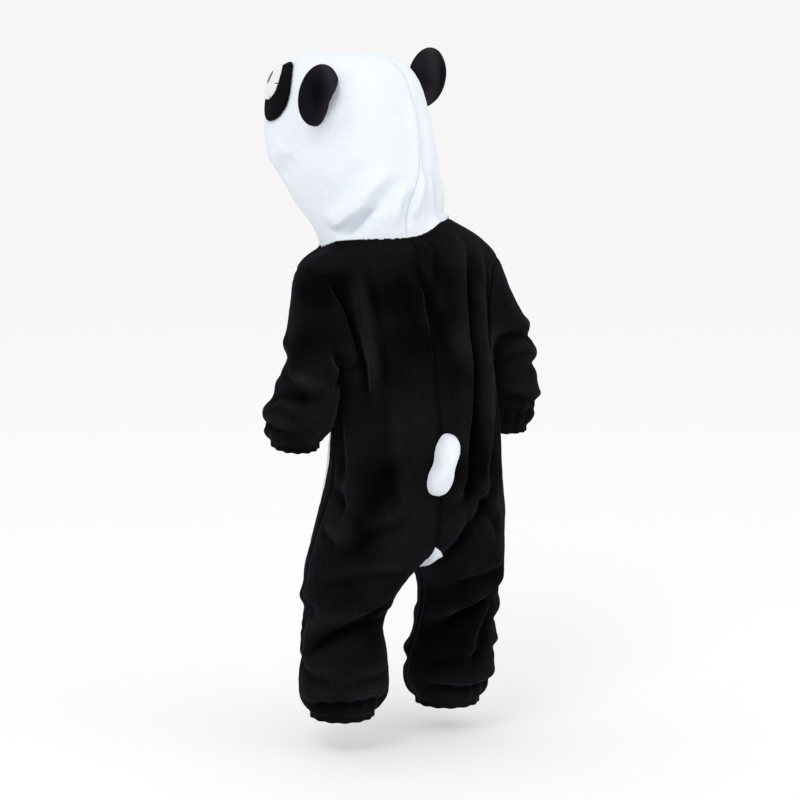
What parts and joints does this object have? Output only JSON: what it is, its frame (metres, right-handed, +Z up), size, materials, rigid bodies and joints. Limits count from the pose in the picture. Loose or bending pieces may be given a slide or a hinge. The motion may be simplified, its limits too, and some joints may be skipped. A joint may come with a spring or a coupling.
{
  "type": "hooded panda onesie for a toddler",
  "caption": "Black and white plush panda onesie with a hood, round ears, a panda face and a short white tail, in the hollow form it has when worn and seen from behind",
  "frame": {"origin": "middle of the neck seam, between the wearer's shoulders, which carry the cloth", "axes": "+Z up, -Y the way the body faces, +X the wearer's left; the hood is turned 25 degrees to the wearer's left"},
  "size_m": [0.3688, 0.3665, 0.7863],
  "materials": {
    "back_left": "black long plush with a faint sheen",
    "back_right": "black long plush with a faint sheen",
    "front_left": "black long plush with a faint sheen",
    "front_right": "black long plush with a faint sheen",
    "belly_left": "white long plush, matt",
    "belly_right": "white long plush, matt",
    "sleeve_left": "black long plush with a faint sheen",
    "sleeve_right": "black long plush with a faint sheen",
    "hood_left": "white long plush, matt",
    "hood_right": "white long plush, matt",
    "cuff_left": "black plush gathered on elastic, matt",
    "cuff_right": "black plush gathered on elastic, matt",
    "ankle_left": "black plush gathered on elastic, matt",
    "ankle_right": "black plush gathered on elastic, matt",
    "ear_left": "black short plush, matt",
    "ear_right": "black short plush, matt",
    "eye_patch_left": "black long plush with a faint sheen",
    "eye_patch_right": "black long plush with a faint sheen",
    "eye_left": "pale smooth felt, matt",
    "eye_right": "pale smooth felt, matt",
    "muzzle": "white long plush, matt",
    "nose": "black long plush with a faint sheen",
    "tail": "white long plush, matt",
    "placket": "white long plush, matt",
    "stud_1": "white moulded cap, half gloss",
    "stud_2": "white moulded cap, half gloss",
    "stud_3": "white moulded cap, half gloss",
    "stud_4": "white moulded cap, half gloss",
    "stud_5": "white moulded cap, half gloss",
    "stud_6": "white moulded cap, half gloss"
  },
  "bodies": {
    "root": {"back_left": "back_left", "back_right": "back_right", "front_left": "front_left", "front_right": "front_right", "belly_left": "belly_left", "belly_right": "belly_right", "sleeve_left": "sleeve_left", "sleeve_right": "sleeve_right", "hood_left": "hood_left", "hood_right": "hood_right", "cuff_left": "cuff_left", "cuff_right": "cuff_right", "ankle_left": "ankle_left", "ankle_right": "ankle_right", "ear_left": "ear_left", "ear_right": "ear_right", "eye_patch_left": "eye_patch_left", "eye_patch_right": "eye_patch_right", "eye_left": "eye_left", "eye_right": "eye_right", "muzzle": "muzzle", "nose": "nose", "tail": "tail", "placket": "placket", "stud_1": "stud_1", "stud_2": "stud_2", "stud_3": "stud_3", "stud_4": "stud_4", "stud_5": "stud_5", "stud_6": "stud_6"}
  },
  "joints": []
}
